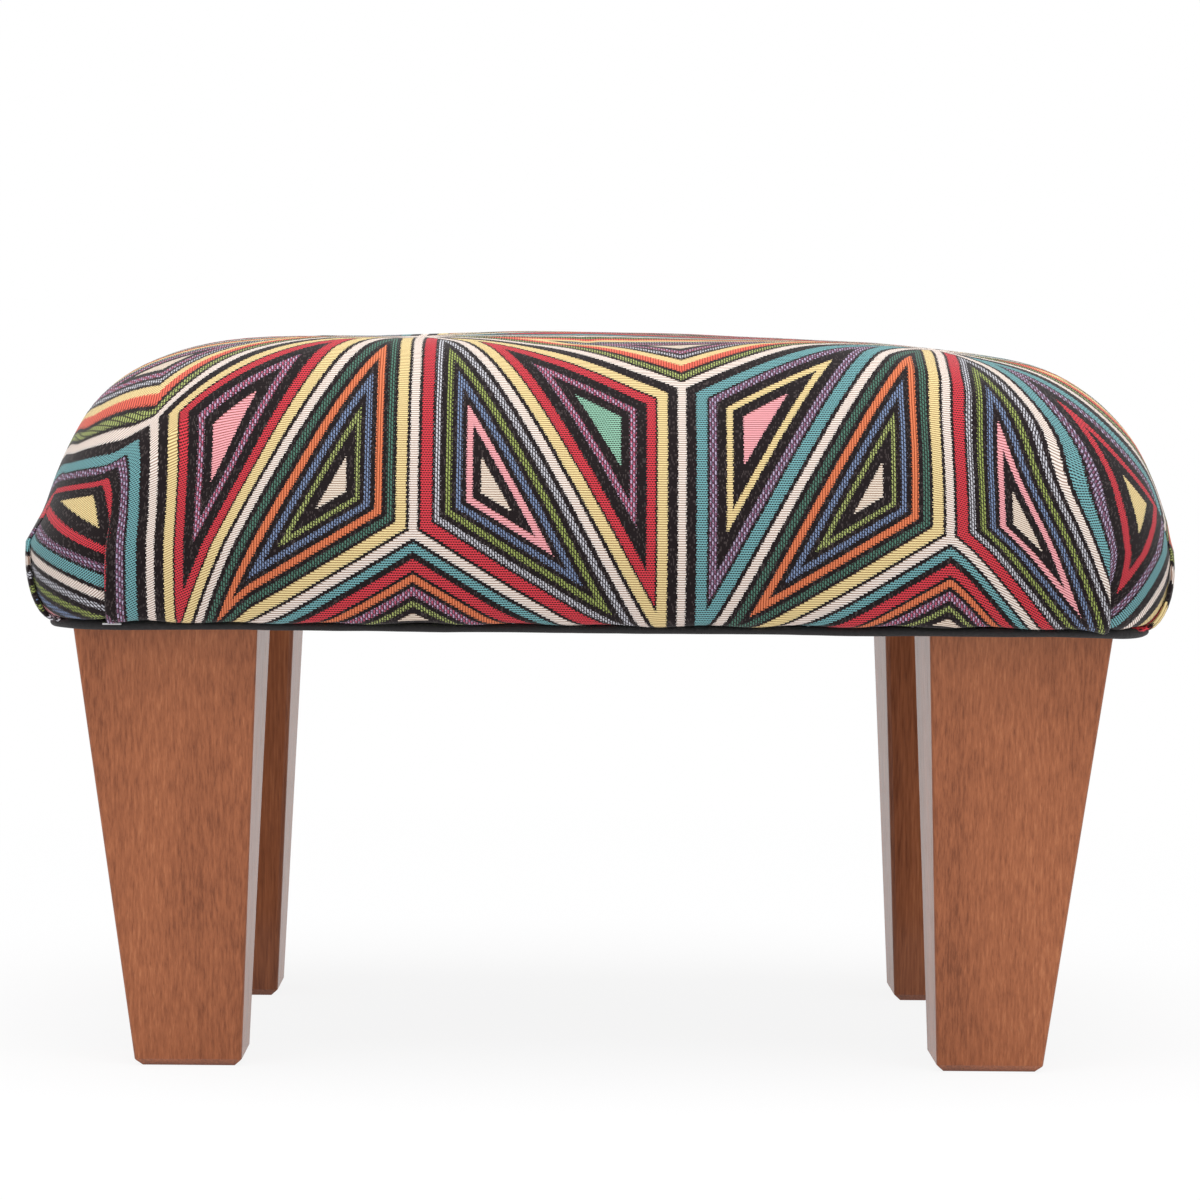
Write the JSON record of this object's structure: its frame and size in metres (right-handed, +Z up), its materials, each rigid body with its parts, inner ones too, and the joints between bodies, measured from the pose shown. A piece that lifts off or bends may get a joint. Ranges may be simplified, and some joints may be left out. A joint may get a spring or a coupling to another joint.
{
  "type": "footstool",
  "caption": "Low rectangular footstool: crowned padded seat in a geometric woven cover, on tapered stained wooden legs, with a black dust cover stapled underneath",
  "frame": {"origin": "on the floor, midway between the four legs", "axes": "+X along the stool's length, -Y to its front, +Z up"},
  "size_m": [0.3854, 0.2882, 0.2481],
  "materials": {
    "cover_cloth": "matte",
    "wadding": "matte",
    "foam": "matte",
    "plywood": "matte",
    "rail_wood": "matte",
    "block_wood": "matte",
    "dowel_wood": "matte",
    "leg_wood": "satin",
    "dust_cloth": "matte",
    "screw_steel": "satin",
    "bolt_steel": "satin",
    "staple_steel": "satin"
  },
  "bodies": {
    "root": {"seat_cover": "cover_cloth", "wadding_layer": "wadding", "foam_pad": "foam", "seat_deck": "plywood", "front_rail": "rail_wood", "rear_rail": "rail_wood", "left_rail": "rail_wood", "right_rail": "rail_wood", "dust_cover": "dust_cloth", "rail_dowels": "dowel_wood", "block_screws": "screw_steel", "deck_screws": "screw_steel", "leg_hanger_bolts": "bolt_steel", "leg_tee_nuts": "bolt_steel", "cover_staples": "staple_steel", "dust_cover_staples": "staple_steel", "leg_front_left": "leg_wood", "corner_block_front_left": "block_wood", "leg_front_right": "leg_wood", "corner_block_front_right": "block_wood", "leg_rear_left": "leg_wood", "corner_block_rear_left": "block_wood", "leg_rear_right": "leg_wood", "corner_block_rear_right": "block_wood"}
  },
  "joints": []
}
